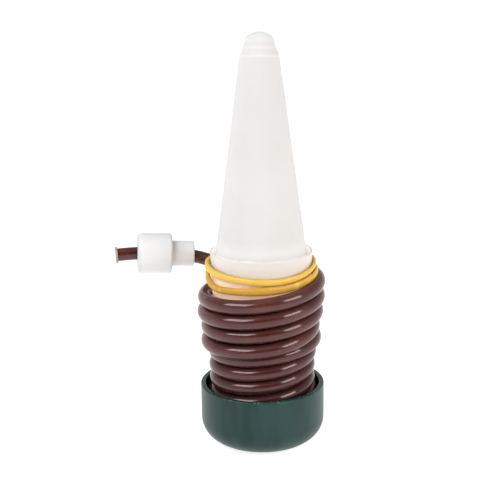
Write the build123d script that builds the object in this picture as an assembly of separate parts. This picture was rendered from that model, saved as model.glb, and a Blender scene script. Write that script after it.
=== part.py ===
from build123d import *
import math
import os

os.makedirs("parts", exist_ok=True)

# Self watering spike, stood on its cap for storage. Millimetres, +Z up, origin at the middle of the
# cap's flat foot. The tube leaves the back of the collar towards -X.

# Screw cap, an open cup with a threaded boss in its middle
cap_clearance = 0.75
cap_height = 22.8
cap_wall = 1.9
cap_floor = 2.2
cap_corner_radius = 8.8
cap_rim_round = 0.45
boss_height = 7.8
boss_wall = 2.0

# Screw thread between the cap's boss and the barrel's neck
thread_pitch = 2.5
thread_core_radius = 10.4
thread_depth = 1.0
thread_root_width = 1.1
thread_crest_width = 0.6
thread_crest_gap = 0.4
thread_end_gap = 0.5
thread_sink = 0.3

# Washer that the neck closes on
gasket_thickness = 1.6
gasket_inner_radius = 7.6
gasket_edge_gap = 0.3

# Barrel: threaded spigot, neck, flare and collar
spigot_wall = 1.9
shoulder_gap = 0.4
neck_floor = 1.6
neck_wall = 2.2
neck_height = 24.6
flare_height = 13.0
waist_height = 5.5
waist_flare = 0.6
collar_radius = 19.5
collar_foot_slimness = 0.7
collar_height = 17.0
collar_wall = 1.2
collar_mouth_depth = 3.2
collar_rim_round = 0.35
barrel_height = 75.4
winding_clearance = 0.25

# Ceramic cone, glued down onto a seal ring in the collar
cone_height = 156.4
cone_rim_radius = 17.1
cone_shoulder_radius = 7.2
cone_shoulder_height = 147.9
cone_step_radius = 5.8
cone_step_height = 151.2
cone_crown_radius = 7.1
cone_crown_edge_radius = 5.1
cone_wall = 3.0
cone_fit_clearance = 0.1
cone_foot_height = 59.0
cone_edge_round = 0.5
seal_thickness = 1.5
seal_edge_gap = 0.15

# Brown tube wound round the barrel. Its turns rise counterclockwise seen from above and lean up
# to the right and to the back.
tube_radius = 2.5
tube_bore_radius = 1.5
coil_pitch = 5.5
coil_foot_front_height = 15.6
coil_top_drop = 15.8
coil_rise_right_share = 0.075
coil_rise_back_share = 0.05
coil_foot_radius = 17.0
coil_neck_radius = 17.9
coil_step_radius = 19.5
coil_waist_radius = 20.5
coil_dip_radius = 20.1
coil_chest_radius = 20.9
coil_top_radius = 21.7
quarters_per_turn = 4

# Where the tube leaves the winding, and its straight end with the weight on it
lead_lift = 5.6
lead_depth = 21.9
lead_rise_degrees = 3.0
lead_swing_degrees = 8.5
lead_step_rise_degrees = 16.0
lead_end_rise_degrees = 3.0
lead_first_run = 12.5
lead_step_run = 10.1
lead_last_run = 23.4
lead_tip_run = 6.9
lead_tip_rise_degrees = -3.4
lead_bend_share = 0.45

# Weight that slides on the tube
weight_radius = 8.1
weight_length = 13.7
weight_neck_radius = 5.15
weight_neck_length = 8.9
weight_outer_round = 1.7
weight_inner_round = 1.0
weight_bore_clearance = 0.1
weight_mouth_clearance = 0.9
weight_mouth_depth = 6.5
weight_tip_gap = 0.8
weight_tip_mouth_clearance = 1.0
weight_tip_mouth_depth = 8.5

# Flanged insert in the tube's end
ferrule_flange_radius = 3.2
ferrule_flange_thickness = 0.9
ferrule_length = 4.5
ferrule_bore_radius = 0.9
barb_clearance = 0.05

# Elbow in the neck's wall
elbow_radius = 2.35
elbow_reach = 3.6
elbow_spigot_radius = 1.7
elbow_bore_radius = 0.8
elbow_barb_length = 4.5

# Rubber band, one loop wound twice round the collar. Its drops are measured down from the collar's rim.
band_radius = 0.85
band_lift = 0.25
band_gap = 0.65
band_upper_front_drop = 6.5
band_crossing_drop = 5.0
band_upper_back_drop = 1.4
band_upper_left_drop = 4.8
band_lower_front_drop = 10.4
band_lower_back_drop = 4.1
band_lower_left_drop = 8.0
band_easing_share = 0.5

overrun = 1.0

# Heights and radii worked out from the sizes above. The cup clears the elbow, which reaches out furthest.
elbow_outer_radius = math.hypot(coil_foot_radius, 2 * tube_radius + elbow_reach) + elbow_radius
cap_radius = elbow_outer_radius + cap_clearance + cap_wall
floor_top = cap_floor
neck_foot = floor_top + gasket_thickness
boss_top = floor_top + boss_height
boss_bore_radius = thread_core_radius + thread_depth + thread_crest_gap
boss_radius = boss_bore_radius + boss_wall
shoulder_height = boss_top + shoulder_gap
spigot_bore_radius = thread_core_radius - spigot_wall
neck_bore_floor = shoulder_height + neck_floor
neck_top = shoulder_height + neck_height
flare_top = neck_top + flare_height
waist_top = flare_top + waist_height
neck_radius = coil_foot_radius - tube_radius - winding_clearance
flare_top_radius = coil_dip_radius - tube_radius - winding_clearance
waist_top_radius = flare_top_radius + waist_flare
collar_foot = barrel_height - collar_height
collar_foot_radius = collar_radius - collar_foot_slimness
cone_slope = (cone_rim_radius - cone_shoulder_radius) / (cone_shoulder_height - barrel_height)
shank_top = barrel_height - collar_mouth_depth
shank_radius = cone_rim_radius + cone_slope * collar_mouth_depth
socket_radius = shank_radius + cone_fit_clearance
mouth_radius = collar_radius - collar_wall
ledge_height = cone_foot_height - seal_thickness
chamber_radius = shank_radius - cone_wall
coil_turns = round((barrel_height - coil_top_drop - coil_foot_front_height) / coil_pitch)
coil_top_front_height = coil_foot_front_height + coil_pitch * coil_turns
lead_height = coil_top_front_height + lead_lift


def turned(corners, rounds=0.0):
    # A solid of revolution about Z from corners given as radius and height
    outline = FilletPolyline([(r, 0, z) for r, z in corners], radius=rounds, close=True)
    return revolve(make_face(outline), Axis.Z)


def ring(outer, inner, low, high):
    # A plain flat-ended tube about Z
    return turned([(inner, low), (outer, low), (outer, high), (inner, high)])


def save(shape, name):
    export_step(shape, "parts/" + name + ".step")


# Screw thread

def thread_ridge(root_radius, outward, low, high):
    # A helical ridge with tapered flanks, standing on a wall at root_radius
    side = 1 if outward else -1
    path = Helix(thread_pitch, high - low, root_radius)
    root = root_radius - side * thread_sink
    crest = root_radius + side * thread_depth
    half_root = thread_root_width / 2
    half_crest = thread_crest_width / 2
    corners = [(root, 0, -half_root), (crest, 0, -half_crest), (crest, 0, half_crest), (root, 0, half_root)]
    section = make_face(Polyline(corners, close=True))
    ridge = sweep(section, path=path, is_frenet=True)
    return Pos(0, 0, low) * ridge


half_ridge = thread_root_width / 2
neck_ridge_low = neck_foot + half_ridge + thread_end_gap
neck_ridge_high = shoulder_height - half_ridge - thread_end_gap
cap_ridge_high = boss_top - half_ridge - thread_end_gap
cap_ridge_low = neck_ridge_low


# Screw cap

def make_screw_cap():
    inner_corner = cap_corner_radius - cap_wall
    inner_radius = cap_radius - cap_wall
    cup = turned(
        [(0, 0), (cap_radius, 0), (cap_radius, cap_height), (inner_radius, cap_height),
         (inner_radius, floor_top), (0, floor_top)],
        [0, cap_corner_radius, cap_rim_round, cap_rim_round, inner_corner, 0],
    )
    boss = ring(boss_radius, boss_bore_radius, floor_top - cap_floor / 2, boss_top)
    ridge = thread_ridge(boss_bore_radius, False, cap_ridge_low, cap_ridge_high)
    half_turn_on = Rot(0, 0, 180) * ridge
    return cup + boss + half_turn_on


def make_cap_gasket():
    return ring(boss_bore_radius - gasket_edge_gap, gasket_inner_radius, floor_top, neck_foot)


# Barrel

def make_barrel():
    outer = [(thread_core_radius, neck_foot), (thread_core_radius, shoulder_height),
             (neck_radius, shoulder_height), (neck_radius, neck_top),
             (flare_top_radius, flare_top), (waist_top_radius, waist_top),
             (collar_foot_radius, collar_foot), (collar_radius, barrel_height)]
    inner = [(mouth_radius, barrel_height), (mouth_radius, shank_top), (socket_radius, shank_top),
             (socket_radius, ledge_height), (flare_top_radius - neck_wall, ledge_height),
             (flare_top_radius - neck_wall, flare_top), (neck_radius - neck_wall, neck_top),
             (neck_radius - neck_wall, neck_bore_floor), (spigot_bore_radius, neck_bore_floor),
             (spigot_bore_radius, neck_foot)]
    rounds = [0] * (len(outer) + len(inner))
    rounds[len(outer) - 1] = collar_rim_round
    rounds[len(outer)] = collar_rim_round
    body = turned(outer + inner, rounds)
    body += thread_ridge(thread_core_radius, True, neck_ridge_low, neck_ridge_high)
    return body - elbow_hole()


def make_cone():
    crown_drop = cone_crown_radius - math.sqrt(cone_crown_radius ** 2 - cone_crown_edge_radius ** 2)
    crown_edge = (cone_crown_edge_radius, 0, cone_height - crown_drop)
    half_angle = math.asin(cone_crown_edge_radius / cone_crown_radius) / 2
    crown_mid = (cone_crown_radius * math.sin(half_angle), 0,
                 cone_height - cone_crown_radius * (1 - math.cos(half_angle)))
    cavity_top = cone_shoulder_height - cone_wall
    cavity_tip_radius = cone_shoulder_radius - cone_wall
    foot = Polyline((0, 0, cavity_top), (cavity_tip_radius, 0, cavity_top), (chamber_radius, 0, shank_top),
                    (chamber_radius, 0, cone_foot_height), (shank_radius, 0, cone_foot_height),
                    (shank_radius, 0, shank_top), (cone_shoulder_radius, 0, cone_shoulder_height),
                    (cone_step_radius, 0, cone_step_height), crown_edge)
    crown = ThreePointArc(crown_edge, crown_mid, (0, 0, cone_height))
    axis_line = Line((0, 0, cone_height), (0, 0, cavity_top))
    cone = revolve(make_face(Wire([*foot.edges(), crown, axis_line])), Axis.Z)
    above_shoulder = cone_shoulder_height - cone_wall / 2
    edges = [e for e in cone.edges().filter_by(GeomType.CIRCLE)
             if e.center().Z > above_shoulder and e.radius > cone_crown_edge_radius - cone_edge_round]
    return fillet(edges, cone_edge_round)


def make_cone_seal_ring():
    return ring(socket_radius - seal_edge_gap, chamber_radius, ledge_height, cone_foot_height)


# Tube

def coil_radius(turns):
    # Distance of the tube's middle from the axis, after so many turns from the bottom
    stations = [(0, coil_foot_radius), (4, coil_neck_radius), (4.25, coil_step_radius),
                (4.75, coil_waist_radius), (5, coil_waist_radius), (5.25, coil_dip_radius),
                (6.25, coil_chest_radius), (6.75, coil_top_radius), (9, coil_top_radius)]
    for (start, low), (end, high) in zip(stations, stations[1:]):
        if turns <= end:
            share = (turns - start) / (end - start)
            eased_share = (1 - math.cos(math.pi * share)) / 2
            return low + (high - low) * eased_share
    return coil_top_radius


def coil_point(turns):
    angle = 2 * math.pi * turns - math.pi / 2
    radius = coil_radius(turns)
    x = radius * math.cos(angle)
    y = radius * math.sin(angle)
    rise = coil_rise_right_share * x + coil_rise_back_share * (y + coil_top_radius)
    return Vector(x, y, coil_foot_front_height + coil_pitch * turns + rise)


def coil_direction(turns):
    nudge = 0.001
    return (coil_point(turns + nudge) - coil_point(turns - nudge)).normalized()


def biarc(start, start_direction, end, end_direction):
    # Two arcs that leave start and reach end in the given directions, and meet in one tangent
    chord = end - start
    both = start_direction + end_direction
    spread = 2 * (1 - start_direction.dot(end_direction))
    reach = (math.sqrt(chord.dot(both) ** 2 + spread * chord.dot(chord)) - chord.dot(both)) / spread
    first_handle = start + start_direction * reach
    last_handle = end - end_direction * reach
    middle = (first_handle + last_handle) / 2
    first = TangentArc(start, middle, tangent=start_direction)
    last = TangentArc(middle, end, tangent=middle - first_handle)
    return [first, last]


def least_gap(path, radius, window, closed=False):
    # Least clear distance between parts of a wound tube that are further apart along it than window
    samples = int(path.length / radius)
    points = [path.position_at(i / samples) for i in range(samples)]
    skip = int(window * samples / path.length) + 1
    nearest = path.length
    for i in range(samples):
        last = min(samples, i + samples - skip) if closed else samples
        for j in range(i + skip, last):
            nearest = min(nearest, (points[i] - points[j]).length)
    return nearest - 2 * radius


def tube_along(path, name):
    start = Plane(path @ 0, z_dir=path % 0)
    section = start * (Circle(tube_radius) - Circle(tube_bore_radius))
    tube = sweep(section, path=path)
    expected = math.pi * (tube_radius ** 2 - tube_bore_radius ** 2) * path.length
    print(name, "length", round(path.length, 1), "volume share", round(tube.volume / expected, 4))
    return tube


def lead_direction(rise_degrees, swing_degrees):
    # Towards -X, lifted by the rise and swung towards the front
    return Vector(-1, 0, 0).rotate(Axis.Y, rise_degrees).rotate(Axis.Z, swing_degrees)


lead_start_direction = lead_direction(lead_rise_degrees, 0)
lead_step_direction = lead_direction(lead_step_rise_degrees, lead_swing_degrees / 2)
lead_end_direction = lead_direction(lead_end_rise_degrees, lead_swing_degrees)
coil_foot_direction = coil_direction(0)
coil_first = coil_point(0)
coil_foot = coil_first - coil_foot_direction * (2 * tube_radius)
coil_last = Vector(0, lead_depth, lead_height)
lead_start = coil_last + lead_start_direction * (2 * tube_radius)
lead_low_corner = lead_start + lead_start_direction * lead_first_run
lead_high_corner = lead_low_corner + lead_step_direction * lead_step_run
lead_tip_corner = lead_high_corner + lead_end_direction * lead_last_run
lead_tip_direction = lead_direction(lead_tip_rise_degrees, lead_swing_degrees)
lead_end = lead_tip_corner + lead_tip_direction * lead_tip_run


def coil_path():
    edges = [Line(coil_foot, coil_first)]
    last_station = coil_turns * quarters_per_turn + 1
    for i in range(last_station):
        start = i / quarters_per_turn
        end = (i + 1) / quarters_per_turn
        edges += biarc(coil_point(start), coil_direction(start), coil_point(end), coil_direction(end))
    top = last_station / quarters_per_turn
    edges += biarc(coil_point(top), coil_direction(top), coil_last, lead_start_direction)
    edges.append(Line(coil_last, lead_start))
    return Wire(edges)


def lead_path():
    corners = [lead_start, lead_low_corner, lead_high_corner, lead_tip_corner, lead_end]
    bend_radii = []
    for before, corner, after in zip(corners, corners[1:], corners[2:]):
        shorter_run = min((corner - before).length, (after - corner).length)
        half_turn = math.radians((corner - before).get_angle(after - corner)) / 2
        bend_radii.append(lead_bend_share * shorter_run / math.tan(half_turn))
    print("lead bend radii", [round(radius, 1) for radius in bend_radii])
    return FilletPolyline(corners, radius=bend_radii)


def make_tube_coil():
    path = coil_path()
    print("coil least gap", round(least_gap(path, tube_radius, math.pi * coil_foot_radius), 3))
    return tube_along(path, "tube_coil")


def make_tube_lead():
    return tube_along(lead_path().wire(), "tube_lead")


# Pieces on the tube's straight end, built along +Z and laid onto the tube's line

def on_tube(corner, direction, distance):
    # A plane whose +Z runs out along the tube, at a distance in from a corner of its route
    return Plane(corner - direction * distance, z_dir=direction)


def make_tube_weight():
    # Its bore has a tapered mouth at each end, where the tube bends
    bore = tube_radius + weight_bore_clearance
    mouth = tube_radius + weight_mouth_clearance
    tip_mouth = tube_radius + weight_tip_mouth_clearance
    length = weight_neck_length + weight_length
    body = turned(
        [(bore, weight_mouth_depth), (mouth, 0), (weight_neck_radius, 0),
         (weight_neck_radius, weight_neck_length), (weight_radius, weight_neck_length),
         (weight_radius, length), (tip_mouth, length), (bore, length - weight_tip_mouth_depth)],
        [0, 0, weight_inner_round / 2, 0, weight_inner_round, weight_outer_round, 0, 0],
    )
    return on_tube(lead_tip_corner, lead_end_direction, weight_tip_gap + length) * body


def make_tube_end_ferrule():
    barb_radius = tube_bore_radius - barb_clearance
    flange_top = ferrule_length + ferrule_flange_thickness
    body = turned([(ferrule_bore_radius, 0), (barb_radius, 0), (barb_radius, ferrule_length),
                   (ferrule_flange_radius, ferrule_length), (ferrule_flange_radius, flange_top),
                   (ferrule_bore_radius, flange_top)])
    return on_tube(lead_end, lead_tip_direction, ferrule_length) * body


# Elbow

elbow_middle = coil_foot - coil_foot_direction * elbow_reach
elbow_inward = Vector(-elbow_middle.X, -elbow_middle.Y, 0).normalized()
elbow_wall_depth = math.hypot(elbow_middle.X, elbow_middle.Y) - (neck_radius - neck_wall)


def rod(start, direction, radius, length):
    upright = Cylinder(radius, length, align=(Align.CENTER, Align.CENTER, Align.MIN))
    return Plane(start, z_dir=direction) * upright


def elbow_hole():
    return rod(elbow_middle, elbow_inward, elbow_spigot_radius + barb_clearance, elbow_wall_depth + overrun)


def make_hose_elbow():
    barb_radius = tube_bore_radius - barb_clearance
    barb_reach = elbow_reach + elbow_barb_length
    body = rod(elbow_middle, coil_foot_direction, elbow_radius, elbow_reach)
    body += Pos(elbow_middle) * Sphere(elbow_radius)
    body += rod(elbow_middle, coil_foot_direction, barb_radius, barb_reach)
    body += rod(elbow_middle, elbow_inward, elbow_spigot_radius, elbow_wall_depth)
    body -= rod(elbow_middle, coil_foot_direction, elbow_bore_radius, barb_reach + overrun)
    return body - rod(elbow_middle, elbow_inward, elbow_bore_radius, elbow_wall_depth + overrun)


# Rubber band

def collar_radius_at(height):
    share = (height - collar_foot) / collar_height
    return collar_foot_radius + (collar_radius - collar_foot_radius) * share


def band_path():
    drops = [band_upper_front_drop, band_crossing_drop, band_lower_back_drop, band_lower_left_drop,
             band_lower_front_drop, band_crossing_drop, band_upper_back_drop, band_upper_left_drop]
    heights = [barrel_height - drop for drop in drops]
    count = len(heights)
    stand_off = band_radius + band_lift
    over = 2 * band_radius + band_gap
    lifts = [0, over, over * band_easing_share, 0, 0, 0, 0, 0]
    points = []
    for i, height in enumerate(heights):
        angle = math.pi / 2 * (i - 1)
        radius = collar_radius_at(height) + stand_off + lifts[i]
        points.append(Vector(radius * math.cos(angle), radius * math.sin(angle), height))
    directions = []
    for i in range(count):
        angle = math.pi / 2 * (i - 1)
        slope = (heights[(i + 1) % count] - heights[i - 1]) / (math.pi * collar_radius)
        directions.append(Vector(-math.sin(angle), math.cos(angle), slope).normalized())
    edges = []
    for i in range(count):
        j = (i + 1) % count
        edges += biarc(points[i], directions[i], points[j], directions[j])
    return edges


def make_rubber_band():
    edges = band_path()
    loop = Wire(edges)
    half = len(edges) // 2
    gap = least_gap(loop, band_radius, math.pi * collar_radius, closed=True)
    print("band least gap", round(gap, 3))
    rounds = []
    for path in (Wire(edges[:half]), Wire(edges[half:])):
        section = Plane(path @ 0, z_dir=path % 0) * Circle(band_radius)
        rounds.append(sweep(section, path=path))
    band = rounds[0] + rounds[1]
    expected = math.pi * band_radius ** 2 * loop.length
    print("rubber_band length", round(loop.length, 1), "volume share", round(band.volume / expected, 4))
    return band


save(make_screw_cap(), "screw_cap")
save(make_cap_gasket(), "cap_gasket")
save(make_barrel(), "barrel")
save(make_cone(), "ceramic_cone")
save(make_cone_seal_ring(), "cone_seal_ring")
save(make_hose_elbow(), "hose_elbow")
save(make_tube_coil(), "tube_coil")
save(make_tube_lead(), "tube_lead")
save(make_tube_weight(), "tube_weight")
save(make_tube_end_ferrule(), "tube_end_ferrule")
save(make_rubber_band(), "rubber_band")
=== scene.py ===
import math
import bpy
from mathutils import Matrix, Vector


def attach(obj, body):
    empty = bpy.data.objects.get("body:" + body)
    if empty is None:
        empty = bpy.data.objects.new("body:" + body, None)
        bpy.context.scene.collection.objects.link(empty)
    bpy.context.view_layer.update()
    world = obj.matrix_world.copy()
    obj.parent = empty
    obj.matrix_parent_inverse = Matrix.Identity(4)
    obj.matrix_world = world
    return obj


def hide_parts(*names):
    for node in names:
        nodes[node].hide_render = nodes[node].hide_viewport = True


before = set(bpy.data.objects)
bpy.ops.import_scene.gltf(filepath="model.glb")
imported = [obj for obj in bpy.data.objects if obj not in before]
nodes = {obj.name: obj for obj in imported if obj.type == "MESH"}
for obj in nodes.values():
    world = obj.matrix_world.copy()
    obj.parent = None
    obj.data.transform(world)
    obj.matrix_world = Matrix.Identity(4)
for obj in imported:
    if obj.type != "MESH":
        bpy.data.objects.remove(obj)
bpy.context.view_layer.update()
mm = 0.001
print("frame loaded,", len(nodes), "nodes")


# Node building, the same for materials, the world and Geometry Nodes

class Value:
    # one output of a node, so that sums on it read as plain arithmetic
    def __init__(self, maker, socket):
        self.maker = maker
        self.socket = socket

    def math(self, operation, *others):
        return self.maker.math(operation, self, *others)

    def other(self, name):
        return Value(self.maker, self.socket.node.outputs[name])

    def __add__(self, other):
        return self.math("ADD", other)

    def __radd__(self, other):
        return self.maker.math("ADD", other, self)

    def __sub__(self, other):
        return self.math("SUBTRACT", other)

    def __rsub__(self, other):
        return self.maker.math("SUBTRACT", other, self)

    def __mul__(self, other):
        return self.math("MULTIPLY", other)

    def __rmul__(self, other):
        return self.maker.math("MULTIPLY", other, self)

    def __neg__(self):
        return self.math("MULTIPLY", -1)


class Maker:
    # adds nodes to one tree
    def __init__(self, tree):
        self.tree = tree
        tree.nodes.clear()

    def add(self, kind, settings=None, sockets=None, out=0):
        node = self.tree.nodes.new(kind)
        for name, setting in (settings or {}).items():
            setattr(node, name, setting)
        for name, value in (sockets or {}).items():
            if isinstance(value, Value):
                self.tree.links.new(value.socket, node.inputs[name])
            else:
                node.inputs[name].default_value = value
        return Value(self, node.outputs[out]) if node.outputs else None

    def math(self, operation, *values):
        return self.add("ShaderNodeMath", {"operation": operation}, dict(enumerate(values)))

    def ease(self, value, low, high):
        # 0 below low, 1 above high, smooth between
        return self.add("ShaderNodeMapRange", {"interpolation_type": "SMOOTHSTEP"},
                        {"Value": value, "From Min": low, "From Max": high})

    def between(self, value, rise, fall):
        # 1 from the end of the rise to the start of the fall, 0 outside them
        return self.ease(value, *rise) * (1 - self.ease(value, *fall))

    def mix(self, share, first, second):
        # a colour between two colours
        sockets = {0: share, 6: first, 7: second}
        return self.add("ShaderNodeMix", {"data_type": "RGBA"}, sockets, out=2)

    def noise(self, place, size, detail=2, roughness=0.5):
        # soft random value from 0 to 1 with features about that size, in metres
        return self.add("ShaderNodeTexNoise", None, {
            "Vector": place, "Scale": 1 / size, "Detail": detail, "Roughness": roughness})

    def around(self, base, noise, spread):
        # the base, moved up and down by the noise
        return base + (noise - 0.5) * spread

    def spots(self, place, size):
        # distance to the nearest of randomly strewn points, as a share of their spacing
        return self.add("ShaderNodeTexVoronoi", None, {"Vector": place, "Scale": 1 / size})

    def vectors(self, operation, first, second, out=0):
        sockets = {0: first, 1: second}
        return self.add("ShaderNodeVectorMath", {"operation": operation}, sockets, out)

    def bump(self, height, strength, depth, under=None):
        sockets = {"Height": height, "Strength": strength, "Distance": depth}
        if under is not None:
            sockets["Normal"] = under
        return self.add("ShaderNodeBump", None, sockets)

    def surface(self, sockets):
        shader = self.add("ShaderNodeBsdfPrincipled", None, sockets)
        self.add("ShaderNodeOutputMaterial", None, {"Surface": shader})


def newMaterial(name):
    material = bpy.data.materials.new(name)
    material.use_nodes = True
    return material, Maker(material.node_tree)


def objectPlace(maker):
    return maker.add("ShaderNodeTexCoord", out="Object")


def axisOf(maker, place, axis):
    return maker.add("ShaderNodeSeparateXYZ", None, {0: place}, out=axis)


def colour(red, green, blue):
    return (red, green, blue, 1)


def scatterOf(look):
    # the sockets that let light into a milky or rubbery piece
    return {"Subsurface Weight": look["scatterShare"], "Subsurface Scale": look["scatterScale"],
            "Subsurface Radius": look["scatterTint"]}


# Materials. A pair is where a pattern starts and where it is full, as an edge in noise or a zone

ceramic = {
    "body": colour(0.632, 0.617, 0.608),
    "patch": colour(0.603, 0.582, 0.559),
    "patchSize": 24 * mm,
    "patchEdge": (0.4, 0.7),
    "patchShare": 0.6,
    "speck": colour(0.60, 0.56, 0.51),
    "speckShare": 0.35,
    "pitSize": 2.4 * mm,
    "pitEdge": (0.04, 0.13),
    "pitDepth": 0.12 * mm,
    "rareSize": 7.2 * mm,
    "rareEdge": (0.52, 0.66),
    # painted light: lighter near the collar's lip, against the shade at its foot
    "foot": colour(0.715, 0.70, 0.69),
    "footLightZone": (75.5 * mm, 82 * mm),
    # painted shade: darker up the upper part of the cone
    "high": colour(0.565, 0.555, 0.552),
    "upperShadeZone": (98 * mm, 136 * mm),
    "upperShadeShare": 0.45,
    # painted light: the top of the tip lighter, lit from above
    "crown": colour(0.665, 0.67, 0.655),
    "crownZone": (152 * mm, 156 * mm),
    # painted highlight along the rings
    "ring": colour(0.72, 0.71, 0.70),
    "ringHighlightShare": 0.4,
    "ringHeights": (151.0 * mm, 148.1 * mm),
    "ringWidth": 0.85 * mm,
    "ringDepth": 0.12 * mm,
    "grainSize": 0.55 * mm,
    "grainDepth": 0.05 * mm,
    "roughness": 0.86,
    "roughSpread": 0.12,
    "gloss": 0.25,
}


def ceramicMaterial():
    # unglazed fired clay, matte: faint patches, fine grain, a few pits and the rings round its tip;
    # painted light lightens its foot and the top of its tip, painted shade darkens its upper part,
    # and a painted highlight runs along the rings
    material, maker = newMaterial("unglazed_ceramic")
    place = objectPlace(maker)
    height = axisOf(maker, place, "Z")
    patches = maker.ease(maker.noise(place, ceramic["patchSize"], detail=4), *ceramic["patchEdge"])
    tone = maker.mix(patches * ceramic["patchShare"], ceramic["body"], ceramic["patch"])
    pits = 1 - maker.ease(maker.spots(place, ceramic["pitSize"]), *ceramic["pitEdge"])
    pits = pits * maker.ease(maker.noise(place, ceramic["rareSize"]), *ceramic["rareEdge"])
    tone = maker.mix(pits * ceramic["speckShare"], tone, ceramic["speck"])
    # painted light: the clay lighter near the collar's lip, lifting the shade at its foot
    tone = maker.mix(maker.ease(height, *ceramic["footLightZone"]), ceramic["foot"], tone)
    # painted shade: the upper part of the cone darkened
    high = maker.ease(height, *ceramic["upperShadeZone"])
    tone = maker.mix(high * ceramic["upperShadeShare"], tone, ceramic["high"])
    # painted light: the top of the tip lighter, as lit from above
    tone = maker.mix(maker.ease(height, *ceramic["crownZone"]), tone, ceramic["crown"])
    offRings = [(height - ringHeight).math("ABSOLUTE") for ringHeight in ceramic["ringHeights"]]
    rings = sum(1 - maker.ease(offRing, 0, ceramic["ringWidth"]) for offRing in offRings)
    # painted highlight along the two ridges round the tip; the ridges themselves are bumped below
    tone = maker.mix(rings * ceramic["ringHighlightShare"], tone, ceramic["ring"])
    grain = maker.noise(place, ceramic["grainSize"], detail=3, roughness=0.6)
    turned = maker.bump(rings, strength=0.5, depth=ceramic["ringDepth"])
    fine = maker.bump(grain, strength=0.5, depth=ceramic["grainDepth"], under=turned)
    bumps = maker.bump(1 - pits, strength=0.6, depth=ceramic["pitDepth"], under=fine)
    rough = maker.around(ceramic["roughness"], grain, ceramic["roughSpread"])
    maker.surface({"Base Color": tone, "Roughness": rough, "Normal": bumps,
                   "Specular IOR Level": ceramic["gloss"]})
    return material


milky = {
    "top": colour(0.655, 0.622, 0.605),
    # painted light: tan where the brown tube and amber band show through the wall
    "foot": colour(0.72, 0.59, 0.44),
    "tubeShowThroughZone": (65 * mm, 76 * mm),
    # painted shade under the upper turns of the coil
    "coilShade": colour(0.12, 0.06, 0.045),
    "coilShadeRise": (36 * mm, 38 * mm),
    "coilShadeFall": (57.5 * mm, 59 * mm),
    "glow": colour(0.345, 0.25, 0.185),
    "glowRise": (58.5 * mm, 60.5 * mm),
    "glowFall": (65 * mm, 67 * mm),
    "noGlow": colour(0, 0, 0),
    "lipGlow": colour(0.42, 0.415, 0.41),
    "lipWall": (18.5 * mm, 18.9 * mm),
    "lipZone": (71.5 * mm, 73 * mm),
    "cloudSize": 9 * mm,
    "cloudShift": 3 * mm,
    "waveSize": 5 * mm,
    "waveStretch": (1, 1, 0.35),
    "waveDepth": 0.05 * mm,
    "roughness": 0.32,
    "roughSpread": 0.14,
    "scatterShare": 0.6,
    "scatterScale": 2.5 * mm,
    "scatterTint": (1.0, 0.85, 0.7),
    "clearShare": 0.05,
    "ior": 1.5,
}


def milkyMaterial():
    # translucent polyethylene, lighter to its lip. Brown on its flare, under the upper turns, is
    # painted shade; tan beside that is painted light, the brown tube and amber band seen through
    # its wall.
    # Light that comes through its thin wall is a weak painted glow, stronger inside the lip
    material, maker = newMaterial("milky_polyethylene")
    place = objectPlace(maker)
    clouds = maker.noise(place, milky["cloudSize"], detail=3)
    level = axisOf(maker, place, "Z")
    height = maker.around(level, clouds, milky["cloudShift"])
    # painted light: tan low down, the tube and band seen through the wall, fading to its own pale
    # tone
    tone = maker.mix(maker.ease(height, *milky["tubeShowThroughZone"]), milky["foot"], milky["top"])
    # painted shade: dark brown under the upper turns, seen in the gaps between them
    under = maker.between(height, milky["coilShadeRise"], milky["coilShadeFall"])
    tone = maker.mix(under, tone, milky["coilShade"])
    lit = maker.between(height, milky["glowRise"], milky["glowFall"])
    glow = maker.mix(lit, milky["noGlow"], milky["glow"])
    x, y = level.other("X"), level.other("Y")
    radius = (x * x + y * y).math("SQRT")
    lip = (1 - maker.ease(radius, *milky["lipWall"])) * maker.ease(level, *milky["lipZone"])
    glow = maker.mix(lip, glow, milky["lipGlow"])
    waves = maker.noise(maker.vectors("MULTIPLY", place, milky["waveStretch"]), milky["waveSize"])
    bumps = maker.bump(waves, strength=0.35, depth=milky["waveDepth"])
    rough = maker.around(milky["roughness"], clouds, milky["roughSpread"])
    maker.surface({
        "Base Color": tone, "Roughness": rough, "Normal": bumps,
        "Transmission Weight": milky["clearShare"], "IOR": milky["ior"],
        "Emission Color": glow, "Emission Strength": 1, **scatterOf(milky),
    })
    return material


pvc = {
    "body": colour(0.092, 0.028, 0.023),
    "deep": colour(0.064, 0.018, 0.016),
    "bodyEdge": (0.35, 0.65),
    "bloom": colour(0.125, 0.044, 0.040),
    "bloomEdge": (0.58, 0.78),
    "bloomShare": 0.5,
    "bloomStreaks": 0.3,
    # painted shade on the lower turns, deep in the cup
    "low": colour(0.034, 0.011, 0.0105),
    "cupShadeZone": (14 * mm, 44 * mm),
    "cupShadeShare": 0.8,
    "cloudSize": 14 * mm,
    "lineSize": 0.5 * mm,
    "lineRun": 45 * mm,
    "lineDepth": 0.02 * mm,
    "dentSize": 6 * mm,
    "dentDepth": 0.12 * mm,
    "roughness": 0.13,
    "roughSpread": 0.16,
    "ior": 1.51,
    "glossTint": colour(1, 0.84, 0.85),
}


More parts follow.
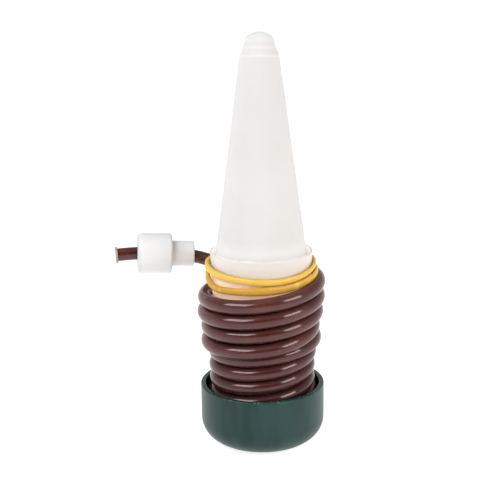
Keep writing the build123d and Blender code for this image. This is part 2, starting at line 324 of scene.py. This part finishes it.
def pvcMaterial():
    # glossy soft tube: faint lines along it from the die, slow waves, a thin bloom here and there,
    # and painted shade darkening its lower turns towards the cup
    material, maker = newMaterial("brown_pvc")
    place = objectPlace(maker)
    along = maker.add("ShaderNodeAttribute", {"attribute_name": "alongTube"}, out="Fac")
    across = maker.add("ShaderNodeAttribute", {"attribute_name": "acrossTube"}, out="Vector")
    run = maker.add("ShaderNodeCombineXYZ", None, {"Z": along * (pvc["lineSize"] / pvc["lineRun"])})
    lines = maker.noise(maker.vectors("ADD", across, run), pvc["lineSize"])
    clouds = maker.noise(place, pvc["cloudSize"], detail=4, roughness=0.6)
    tone = maker.mix(maker.ease(clouds, *pvc["bodyEdge"]), pvc["deep"], pvc["body"])
    streaks = maker.ease(maker.around(clouds, lines, pvc["bloomStreaks"]), *pvc["bloomEdge"])
    tone = maker.mix(streaks * pvc["bloomShare"], tone, pvc["bloom"])
    # painted shade: the lower turns darker towards the cup
    low = 1 - maker.ease(axisOf(maker, place, "Z"), *pvc["cupShadeZone"])
    tone = maker.mix(low * pvc["cupShadeShare"], tone, pvc["low"])
    dents = maker.noise(place, pvc["dentSize"], detail=1)
    slow = maker.bump(dents, strength=0.5, depth=pvc["dentDepth"])
    bumps = maker.bump(lines, strength=0.35, depth=pvc["lineDepth"], under=slow)
    rough = maker.around(pvc["roughness"], clouds, pvc["roughSpread"])
    maker.surface({"Base Color": tone, "Roughness": rough, "Normal": bumps, "IOR": pvc["ior"],
                   "Specular Tint": pvc["glossTint"]})
    return material


latex = {
    "body": colour(0.75, 0.47, 0.052),
    "deep": colour(0.56, 0.285, 0.024),
    "bodyZone": (64.5 * mm, 69 * mm),
    "pale": colour(0.86, 0.62, 0.17),
    "paleEdge": (0.55, 0.75),
    "paleShare": 0.5,
    "cloudSize": 5 * mm,
    "cloudShift": 1.5 * mm,
    "grainSize": 0.35 * mm,
    "grainDepth": 0.03 * mm,
    "roughness": 0.42,
    "roughSpread": 0.2,
    "scatterShare": 0.3,
    "scatterScale": 1.2 * mm,
    "scatterTint": (1.0, 0.6, 0.2),
}


def latexMaterial():
    # amber rubber with a dusty skin, deeper in colour lower down
    material, maker = newMaterial("amber_latex")
    place = objectPlace(maker)
    clouds = maker.noise(place, latex["cloudSize"], detail=3)
    grain = maker.noise(place, latex["grainSize"])
    height = maker.around(axisOf(maker, place, "Z"), clouds, latex["cloudShift"])
    tone = maker.mix(maker.ease(height, *latex["bodyZone"]), latex["deep"], latex["body"])
    dusty = maker.ease(clouds, *latex["paleEdge"])
    tone = maker.mix(dusty * latex["paleShare"], tone, latex["pale"])
    bumps = maker.bump(grain, strength=0.4, depth=latex["grainDepth"])
    rough = maker.around(latex["roughness"], grain, latex["roughSpread"])
    maker.surface({"Base Color": tone, "Roughness": rough, "Normal": bumps, **scatterOf(latex)})
    return material


capPlastic = {
    "body": colour(0.006, 0.029, 0.026),
    # painted reflection: pale upright streaks
    "pale": colour(0.014, 0.048, 0.044),
    "paleEdge": (0.4, 0.65),
    "cloudSize": 8 * mm,
    "streakStretch": (1, 1, 0.2),
    "flowSize": 3 * mm,
    "flowStretch": (1, 1, 0.3),
    "flowDepth": 0.03 * mm,
    "grainSize": 0.22 * mm,
    "grainDepth": 0.012 * mm,
    # painted highlight on the rim
    "rim": colour(0.045, 0.085, 0.078),
    "rimZone": (22.4 * mm, 22.8 * mm),
    "rimHighlightShare": 0.12,
    "rimPolish": 0.14,
    # pale scuffs: wear, with painted glints in their tone
    "scuffGlint": colour(0.36, 0.42, 0.40),
    "scuffSize": 2.5 * mm,
    "scuffEdge": (0.56, 0.68),
    "scuffGlintShare": 0.45,
    "scuffRoughness": 0.2,
    "mark": colour(0.03, 0.075, 0.068),
    "markShare": 0.45,
    "markPlace": (9.3 * mm, -21.4 * mm, 4.4 * mm),
    "markRadius": 1.1 * mm,
    "markWidth": 0.25 * mm,
    "roughness": 0.36,
    "roughSpread": 0.12,
    "gloss": 0.29,
}


def capMaterial():
    # satin dark green moulding: flow marks, fine grain, a scuffed rim and the ring of its gate;
    # painted reflections in pale upright streaks, a painted highlight on the rim and painted glints
    # in the pale of its scuffs
    material, maker = newMaterial("green_moulding")
    place = objectPlace(maker)
    streakPlace = maker.vectors("MULTIPLY", place, capPlastic["streakStretch"])
    flowPlace = maker.vectors("MULTIPLY", place, capPlastic["flowStretch"])
    clouds = maker.noise(streakPlace, capPlastic["cloudSize"])
    flow = maker.noise(flowPlace, capPlastic["flowSize"])
    grain = maker.noise(place, capPlastic["grainSize"])
    # painted reflection: pale upright streaks standing for the soft boxes
    reflectionStreaks = maker.ease(clouds, *capPlastic["paleEdge"])
    tone = maker.mix(reflectionStreaks, capPlastic["body"], capPlastic["pale"])
    rim = maker.ease(axisOf(maker, place, "Z"), *capPlastic["rimZone"])
    # painted highlight: the top of the rim lighter where it catches the light
    tone = maker.mix(rim * capPlastic["rimHighlightShare"], tone, capPlastic["rim"])
    scuffs = maker.noise(place, capPlastic["scuffSize"], detail=4, roughness=0.7)
    scuffsAndGlints = rim * maker.ease(scuffs, *capPlastic["scuffEdge"])
    # scuffs on the rim: rougher as wear, and painted glints in their pale tone
    tone = maker.mix(scuffsAndGlints * capPlastic["scuffGlintShare"], tone, capPlastic["scuffGlint"])
    far = maker.vectors("DISTANCE", place, capPlastic["markPlace"], out="Value")
    offRing = (far - capPlastic["markRadius"]).math("ABSOLUTE")
    gate = 1 - maker.ease(offRing, 0, capPlastic["markWidth"])
    tone = maker.mix(gate * capPlastic["markShare"], tone, capPlastic["mark"])
    fine = maker.bump(grain, strength=0.4, depth=capPlastic["grainDepth"])
    bumps = maker.bump(flow - gate, strength=0.4, depth=capPlastic["flowDepth"], under=fine)
    rough = maker.around(capPlastic["roughness"], clouds, capPlastic["roughSpread"])
    rough = rough + scuffsAndGlints * capPlastic["scuffRoughness"] - rim * capPlastic["rimPolish"]
    maker.surface({"Base Color": tone, "Roughness": rough, "Normal": bumps,
                   "Specular IOR Level": capPlastic["gloss"]})
    return material


whitePlastic = {
    "body": colour(0.80, 0.795, 0.797),
    # painted light: the neck lightened against its shade
    "neck": colour(0.85, 0.83, 0.84),
    "neckLightZone": (-36.0 * mm, -35.4 * mm),
    "end": colour(0.60, 0.59, 0.585),
    "endLean": 0.15,
    "endZone": (-46.3 * mm, -45.0 * mm),
    "stain": colour(0.72, 0.70, 0.685),
    "stainEdge": (0.5, 0.8),
    "stainShare": 0.3,
    "cloudSize": 6 * mm,
    "flowSize": 1.2 * mm,
    "flowStretch": (0.3, 1, 1),
    "flowDepth": 0.03 * mm,
    "roughness": 0.34,
    "roughSpread": 0.1,
    "scatterShare": 0.25,
    "scatterScale": 2 * mm,
    "scatterTint": (1.0, 0.95, 0.9),
}


def whitePlasticMaterial():
    # the sliding weight: satin white, faintly stained, lightened in its neck by painted light
    # against the shade there, and greyer on its far end
    material, maker = newMaterial("white_moulding")
    place = objectPlace(maker)
    clouds = maker.noise(place, whitePlastic["cloudSize"], detail=3)
    side = axisOf(maker, place, "X")
    # painted light: the neck lighter, against the shade of the collar and the weight's big part
    neck = maker.ease(side, *whitePlastic["neckLightZone"])
    tone = maker.mix(neck, whitePlastic["body"], whitePlastic["neck"])
    along = side + side.other("Y") * whitePlastic["endLean"]
    end = 1 - maker.ease(along, *whitePlastic["endZone"])
    tone = maker.mix(end, tone, whitePlastic["end"])
    stains = maker.ease(clouds, *whitePlastic["stainEdge"])
    tone = maker.mix(stains * whitePlastic["stainShare"], tone, whitePlastic["stain"])
    flowPlace = maker.vectors("MULTIPLY", place, whitePlastic["flowStretch"])
    flow = maker.noise(flowPlace, whitePlastic["flowSize"])
    bumps = maker.bump(flow, strength=0.3, depth=whitePlastic["flowDepth"])
    rough = maker.around(whitePlastic["roughness"], clouds, whitePlastic["roughSpread"])
    maker.surface({"Base Color": tone, "Roughness": rough, "Normal": bumps,
                   **scatterOf(whitePlastic)})
    return material


smallPieces = {
    "tube_end_ferrule": {
        "material": "tan_moulding",
        "body": colour(0.36, 0.26, 0.19), "pale": colour(0.48, 0.38, 0.30),
        "patchSize": 2 * mm, "roughness": 0.45, "grainDepth": 0.02 * mm},
    "hose_elbow": {
        "material": "black_nylon",
        "body": colour(0.016, 0.016, 0.017), "pale": colour(0.03, 0.03, 0.032),
        "patchSize": 3 * mm, "roughness": 0.42, "grainDepth": 0.02 * mm},
    "cap_gasket": {
        "material": "black_rubber",
        "body": colour(0.014, 0.014, 0.014), "pale": colour(0.03, 0.03, 0.03),
        "patchSize": 3 * mm, "roughness": 0.65, "grainDepth": 0.03 * mm},
    "cone_seal_ring": {
        "material": "pale_rubber",
        "body": colour(0.52, 0.47, 0.41), "pale": colour(0.62, 0.57, 0.50),
        "patchSize": 3 * mm, "roughness": 0.6, "grainDepth": 0.03 * mm},
}
plainFinish = {"paleEdge": (0.35, 0.7), "grainsPerPatch": 12, "roughSpread": 0.2}


def plainMaterial(look):
    # small mouldings and seals: two tones in soft patches and a fine grain
    material, maker = newMaterial(look["material"])
    place = objectPlace(maker)
    patches = maker.noise(place, look["patchSize"], detail=4, roughness=0.6)
    grain = maker.noise(place, look["patchSize"] / plainFinish["grainsPerPatch"])
    tone = maker.mix(maker.ease(patches, *plainFinish["paleEdge"]), look["body"], look["pale"])
    rough = maker.around(look["roughness"], grain, plainFinish["roughSpread"])
    maker.surface({"Base Color": tone, "Roughness": rough,
                   "Normal": maker.bump(grain, strength=0.4, depth=look["grainDepth"])})
    return material


def dressNode(name, material):
    piece = nodes[name]
    piece.data.materials.clear()
    piece.data.materials.append(material)


dressNode("screw_cap", capMaterial())
dressNode("barrel", milkyMaterial())
dressNode("ceramic_cone", ceramicMaterial())
dressNode("tube_weight", whitePlasticMaterial())
for nodeName, look in smallPieces.items():
    dressNode(nodeName, plainMaterial(look))
print("CAD pieces have their materials")


# Sweeps along a line, in Geometry Nodes

def newObject(name, data):
    thing = bpy.data.objects.new(name, data)
    bpy.context.scene.collection.objects.link(thing)
    return thing


def finishedMesh(thing):
    # a plain mesh of the object with its modifiers or curve worked out
    bpy.context.view_layer.update()
    depsgraph = bpy.context.evaluated_depsgraph_get()
    return bpy.data.meshes.new_from_object(thing.evaluated_get(depsgraph))


def newSweepTree(name, inputs):
    tree = bpy.data.node_groups.new(name, "GeometryNodeTree")
    inputs = {"Line": "NodeSocketGeometry", **inputs, "Material": "NodeSocketMaterial"}
    for inputName, kind in inputs.items():
        tree.interface.new_socket(name=inputName, in_out="INPUT", socket_type=kind)
    tree.interface.new_socket(name="Piece", in_out="OUTPUT", socket_type="NodeSocketGeometry")
    maker = Maker(tree)
    return tree, maker, maker.add("NodeGroupInput", out="Line")


def finishSweep(maker, given, profile, closed):
    # lays the profile along the line and finishes the mesh
    line = maker.add("GeometryNodeMeshToCurve", None, {"Mesh": given})
    line = maker.add("GeometryNodeSetSplineCyclic", None, {0: line, "Cyclic": closed})
    line = maker.add("GeometryNodeSetCurveNormal", {"mode": "Z_UP"}, {0: line})
    runLength = maker.add("GeometryNodeSplineParameter", out="Length")
    line = maker.add("GeometryNodeStoreNamedAttribute", {"data_type": "FLOAT", "domain": "POINT"},
                     {"Geometry": line, "Name": "alongTube", "Value": runLength})
    place = maker.add("GeometryNodeInputPosition")
    profile = maker.add("GeometryNodeStoreNamedAttribute",
                        {"data_type": "FLOAT_VECTOR", "domain": "POINT"},
                        {"Geometry": profile, "Name": "acrossTube", "Value": place})
    swell = maker.add("GeometryNodeInputNamedAttribute", {"data_type": "FLOAT"}, {"Name": "swell"})
    body = maker.add("GeometryNodeCurveToMesh", None, {
        "Curve": line, "Profile Curve": profile, "Scale": swell, "Fill Caps": not closed})
    body = maker.add("GeometryNodeSetShadeSmooth", None, {"Geometry": body})
    body = maker.add("GeometryNodeRealizeInstances", None, {"Geometry": body})
    body = maker.add("GeometryNodeSetMaterial", None,
                     {"Geometry": body, "Material": given.other("Material")})
    maker.add("NodeGroupOutput", None, {0: body})


def roundSweepTree():
    tree, maker, given = newSweepTree("round_sweep", {
        "Radius": "NodeSocketFloat", "Sides": "NodeSocketInt"})
    profile = maker.add("GeometryNodeCurvePrimitiveCircle", None, {
        "Resolution": given.other("Sides"), "Radius": given.other("Radius")})
    finishSweep(maker, given, profile, False)
    return tree


def stripSweepTree():
    tree, maker, given = newSweepTree("strip_sweep", {
        "Width": "NodeSocketFloat", "Thickness": "NodeSocketFloat", "Corner": "NodeSocketFloat"})
    profile = maker.add("GeometryNodeCurvePrimitiveQuadrilateral", None, {
        "Width": given.other("Thickness"), "Height": given.other("Width")})
    profile = maker.add("GeometryNodeFilletCurve", None, {
        "Curve": profile, "Radius": given.other("Corner"), "Limit Radius": True})
    finishSweep(maker, given, profile, True)
    return tree


def sweptPiece(name, points, swells, closed, tree, values):
    # a plain mesh swept along the points by the tree, thicker where its swell is over 1
    count = len(points)
    edges = [(i, (i + 1) % count) for i in range(count if closed else count - 1)]
    mesh = bpy.data.meshes.new(name + "_line")
    mesh.from_pydata(points, edges, [])
    mesh.attributes.new("swell", "FLOAT", "POINT").data.foreach_set("value", swells)
    line = newObject(name + "_line", mesh)
    modifier = line.modifiers.new("sweep", "NODES")
    modifier.node_group = tree
    for item in tree.interface.items_tree:
        if item.in_out == "INPUT" and item.name in values:
            modifier[item.identifier] = values[item.name]
    line.update_tag()
    finished = finishedMesh(line)
    line.modifiers.remove(modifier)
    bpy.data.objects.remove(line)
    finished.name = name
    return newObject(name, finished)


def splinePoints(corners, steps):
    # points on one smooth NURBS line that has these control points
    curve = bpy.data.curves.new("route", "CURVE")
    curve.dimensions = "3D"
    curve.resolution_u = steps
    spline = curve.splines.new("NURBS")
    spline.points.add(len(corners) - 1)
    for point, corner in zip(spline.points, corners):
        point.co = (*corner, 1)
    spline.order_u = 3
    spline.use_endpoint_u = True
    route = newObject("route", curve)
    points = [vertex.co.copy() for vertex in finishedMesh(route).vertices]
    bpy.data.objects.remove(route)
    return points


# Brown tube: eight turns up the barrel, then its straight end. Each station is a number of turns
# from the foot and a value there: radius and sag in mm, swell as a share of the tube's radius

tube = {
    "radius": 2.58 * mm,
    "diameter": 5 * mm,
    "length": 1.095,
    "sides": 32,
    "steps": 6,
    "pitch": 5.5 * mm,
    "footFrontHeight": 15.6 * mm,
    "turns": 8,
    "riseRightShare": 0.075,
    "riseBackShare": 0.05,
    "topRadius": 21.7 * mm,
    "pointsPerTurn": 16,
    "foot": (-4.96 * mm, -17 * mm, 15.2 * mm),
    "radiusStations": [
        (0, 17.0), (0.3, 19.3), (0.75, 18.5), (1.25, 17.9), (2.5, 18.0), (3.25, 18.5), (3.75, 18.2),
        (4, 18.1), (4.27, 20.5), (5, 21.2), (5.25, 19.85), (5.75, 20.8), (6.25, 21.0), (6.75, 22.1),
        (7.25, 21.6), (7.75, 21.8), (8.5, 21.7), (9, 21.7)],
    "sagStations": [
        (0, 0), (0.9, 0.3), (1.5, 0), (3.9, 0), (4.25, 0.5), (5, 1.15), (5.25, 0.75), (6, 0.65),
        (7, 0.3), (8, 0), (9, 0)],
    "swellStations": [(0, 1), (5.2, 1), (5.6, 1.05), (8.6, 1.06), (8.66, 1)],
    "lead": [
        (0, 21.9, 65.1), (-4.99, 21.9, 65.2), (-17.48, 21.9, 64.8), (-27.16, 21.18, 68.1),
        (-37.13, 19.69, 69.34), (-43.45, 18.74, 69.76), (-50.27, 17.73, 70.12),
        (-57.08, 16.71, 69.72)],
}


def atStation(stations, turns):
    # value at a number of turns, eased between the stations
    for (start, low), (end, high) in zip(stations, stations[1:]):
        if turns <= end:
            share = (turns - start) / (end - start)
            return low + (high - low) * (1 - math.cos(math.pi * share)) / 2
    return stations[-1][1]


def coilPoint(turns, outward):
    angle = 2 * math.pi * turns - math.pi / 2
    radius = atStation(tube["radiusStations"], turns) * mm
    x = radius * math.cos(angle)
    y = radius * math.sin(angle)
    rise = tube["riseRightShare"] * x + tube["riseBackShare"] * (y + tube["topRadius"])
    rise -= atStation(tube["sagStations"], turns) * mm
    height = tube["footFrontHeight"] + tube["pitch"] * turns + rise
    return Vector((x * outward, y * outward, height))


def tubeRoute():
    # the spline runs inside its control points, so these stand that much further out
    outward = 1 / math.cos(math.pi / tube["pointsPerTurn"])
    corners = [Vector(tube["foot"])]
    for i in range(round((tube["turns"] + 0.5) * tube["pointsPerTurn"])):
        corners.append(coilPoint((i + 0.5) / tube["pointsPerTurn"], outward))
    return corners + [Vector(place) * mm for place in tube["lead"]]


def tubeSwells(points):
    # how much thicker the tube is at each point, counted in turns from its foot
    swells, turns, before = [], 0, points[0]
    for point in points:
        turns += abs(before.to_2d().angle_signed(point.to_2d())) / (2 * math.pi)
        swells.append(atStation(tube["swellStations"], turns))
        before = point
    return swells


tubePoints = splinePoints(tubeRoute(), tube["steps"])
tubePiece = sweptPiece("brown_tube", tubePoints, tubeSwells(tubePoints), False, roundSweepTree(), {
    "Radius": tube["radius"], "Sides": tube["sides"], "Material": pvcMaterial()})
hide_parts("tube_coil", "tube_lead")
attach(tubePiece, "spike")
[list(point) for point in tubePoints]
tubeLength = sum((b - a).length for a, b in zip(tubePoints, tubePoints[1:]))
print("tube made,", round(tubeLength, 3), "m along its middle")


# Rubber band: one closed loop, twice round the collar, crossing itself at the back.
# Its stations start at the front and go round to the right; heights and slack are in mm

band = {
    "width": 2.05 * mm,
    "thickness": 1.2 * mm,
    "corner": 0.4 * mm,
    "standOff": 0.1 * mm,
    "collarFoot": 58.4 * mm,
    "collarHeight": 17 * mm,
    "collarFootRadius": 18.8 * mm,
    "collarRadius": 19.5 * mm,
    "pointsPerStation": 8,
    "stationDegrees": 30,
    "heights": [67.8, 67.9, 69.2, 70.6, 71.2, 70.8, 69.7, 68.6, 67.7, 65.9, 63.5, 63.9,
                64.5, 65.1, 66.3, 67.5, 68.3, 69.0, 69.7, 70.1, 70.4, 70.1, 69.1, 68.4],
    "slack": [0, 0, 0.1, 0.3, 0.3, 0.1, 0, 0, 0.3, 0.4, 0.1, 0,
              0, 0, 0.4, 1.1, 1.4, 1.5, 1.5, 1.2, 0.5, 0.3, 0.1, 0],
    "swells": [1, 1, 1, 1, 1, 1, 1, 1, 1.2, 1.5, 1.35, 1.3,
               1.45, 1.4, 1.35, 1.15, 1, 1, 1, 1, 1.2, 1.5, 1.25, 1],
}


def onCycle(values, place):
    # smooth value between the entries of a list that closes on itself
    count = len(values)
    i = int(place)
    share = place - i
    before, start, end, after = (values[(i + step) % count] for step in (-1, 0, 1, 2))
    slopeIn = (end - before) / 2
    slopeOut = (after - start) / 2
    rest = 1 - share
    return (start * (1 + 2 * share) * rest ** 2 + end * (3 - 2 * share) * share ** 2
            + slopeIn * share * rest ** 2 - slopeOut * share ** 2 * rest)


def collarRadiusAt(height):
    share = (height - band["collarFoot"]) / band["collarHeight"]
    return band["collarFootRadius"] + (band["collarRadius"] - band["collarFootRadius"]) * share


def bandRoute():
    # its points, with how much thicker it is at each
    points, swells = [], []
    for i in range(len(band["heights"]) * band["pointsPerStation"]):
        place = i / band["pointsPerStation"]
        height = onCycle(band["heights"], place) * mm
        swell = onCycle(band["swells"], place)
        slack = max(onCycle(band["slack"], place), 0) * mm
        radius = collarRadiusAt(height) + swell * band["thickness"] / 2 + band["standOff"] + slack
        angle = math.radians(place * band["stationDegrees"] - 90)
        points.append(Vector((radius * math.cos(angle), radius * math.sin(angle), height)))
        swells.append(swell)
    return points, swells


bandPiece = sweptPiece("amber_band", *bandRoute(), True, stripSweepTree(), {
    "Width": band["width"], "Thickness": band["thickness"], "Corner": band["corner"],
    "Material": latexMaterial()})
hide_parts("rubber_band")
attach(bandPiece, "spike")
print("band made")


# Studio: pale floor, even white light and two soft boxes in front

studio = {
    "floorSize": 24,
    "floorTone": colour(0.5, 0.5, 0.5),
    "floorGlow": 0.84,
    "floorRoughness": 0.9,
    "white": colour(1, 1, 1),
    "horizonLight": 1.02,
    "topLight": 0.42,
    "topEdge": (0.05, 0.5),
    "frontLight": 0.3,
    "frontEdge": (0.5, 0.95),
    "target": Vector((0, 0, 60 * mm)),
    "distance": 0.5,
    "boxes": {
        "left_box": {"azimuth": -57, "elevation": 44, "width": 0.38, "height": 0.22,
                     "radiance": 6.9, "tint": (0.96, 0.98, 1.0)},
        "right_box": {"azimuth": 55, "elevation": 32, "width": 0.26, "height": 0.22,
                      "radiance": 7.6, "tint": (1.0, 0.965, 0.93)},
    },
}


def makeFloor():
    half = studio["floorSize"] / 2
    corners = [(-half, -half, 0), (half, -half, 0), (half, half, 0), (-half, half, 0)]
    mesh = bpy.data.meshes.new("floor")
    mesh.from_pydata(corners, [], [(0, 1, 2, 3)])
    floor = newObject("floor", mesh)
    material, maker = newMaterial("pale_floor")
    maker.surface({"Base Color": studio["floorTone"], "Roughness": studio["floorRoughness"],
                   "Specular IOR Level": 0,
                   "Emission Color": studio["white"], "Emission Strength": studio["floorGlow"]})
    mesh.materials.append(material)


def makeWorld():
    # plain white to look at; as light it is dimmer overhead and at the front
    world = bpy.data.worlds.new("studio")
    bpy.context.scene.world = world
    world.use_nodes = True
    maker = Maker(world.node_tree)
    direction = maker.add("ShaderNodeTexCoord", out="Generated")
    over = maker.ease(axisOf(maker, direction, "Z"), *studio["topEdge"])
    front = maker.ease(-axisOf(maker, direction, "Y"), *studio["frontEdge"])
    strength = studio["horizonLight"] + over * (studio["topLight"] - studio["horizonLight"])
    strength = strength + front * (studio["frontLight"] - studio["horizonLight"])
    seen = maker.add("ShaderNodeLightPath", out="Is Camera Ray")
    strength = strength + seen * (studio["horizonLight"] - strength)
    light = maker.add("ShaderNodeBackground", None,
                      {"Color": studio["white"], "Strength": strength})
    maker.add("ShaderNodeOutputWorld", None, {"Surface": light})


def softBox(name, azimuth, elevation, width, height, radiance, tint):
    # azimuth 0 stands at the camera's side, positive to the right
    turn, lift = math.radians(azimuth), math.radians(elevation)
    level = math.cos(lift)
    outward = Vector((math.sin(turn) * level, -math.cos(turn) * level, math.sin(lift)))
    light = bpy.data.lights.new(name, "AREA")
    light.shape = "RECTANGLE"
    light.size = width
    light.size_y = height
    light.energy = math.pi * radiance * width * height
    light.color = tint
    lamp = newObject(name, light)
    lamp.location = studio["target"] + outward * studio["distance"]
    lamp.rotation_euler = outward.to_track_quat("Z", "Y").to_euler()


makeFloor()
makeWorld()
for boxName, box in studio["boxes"].items():
    softBox(boxName, **box)
bpy.context.scene.view_settings.view_transform = "Standard"
print("studio made")


# Camera at the photograph's place

view = {
    "lens": 71.136,
    "sensor": 36,
    "clipStart": 0.01,
    "place": (0, -0.3644, 0.1655),
    "downDegrees": 13.9,
    "yawDegrees": 0.665,
    "rollDegrees": -0.7,
}


def makeCamera():
    data = bpy.data.cameras.new("camera")
    data.lens = view["lens"]
    data.sensor_width = view["sensor"]
    data.clip_start = view["clipStart"]
    camera = newObject("camera", data)
    yaw = Matrix.Rotation(math.radians(view["yawDegrees"]), 4, "Z")
    tilt = Matrix.Rotation(math.radians(90 - view["downDegrees"]), 4, "X")
    roll = Matrix.Rotation(math.radians(view["rollDegrees"]), 4, "Z")
    camera.matrix_world = Matrix.Translation(view["place"]) @ yaw @ tilt @ roll
    bpy.context.scene.camera = camera


makeCamera()
print("scene ready")
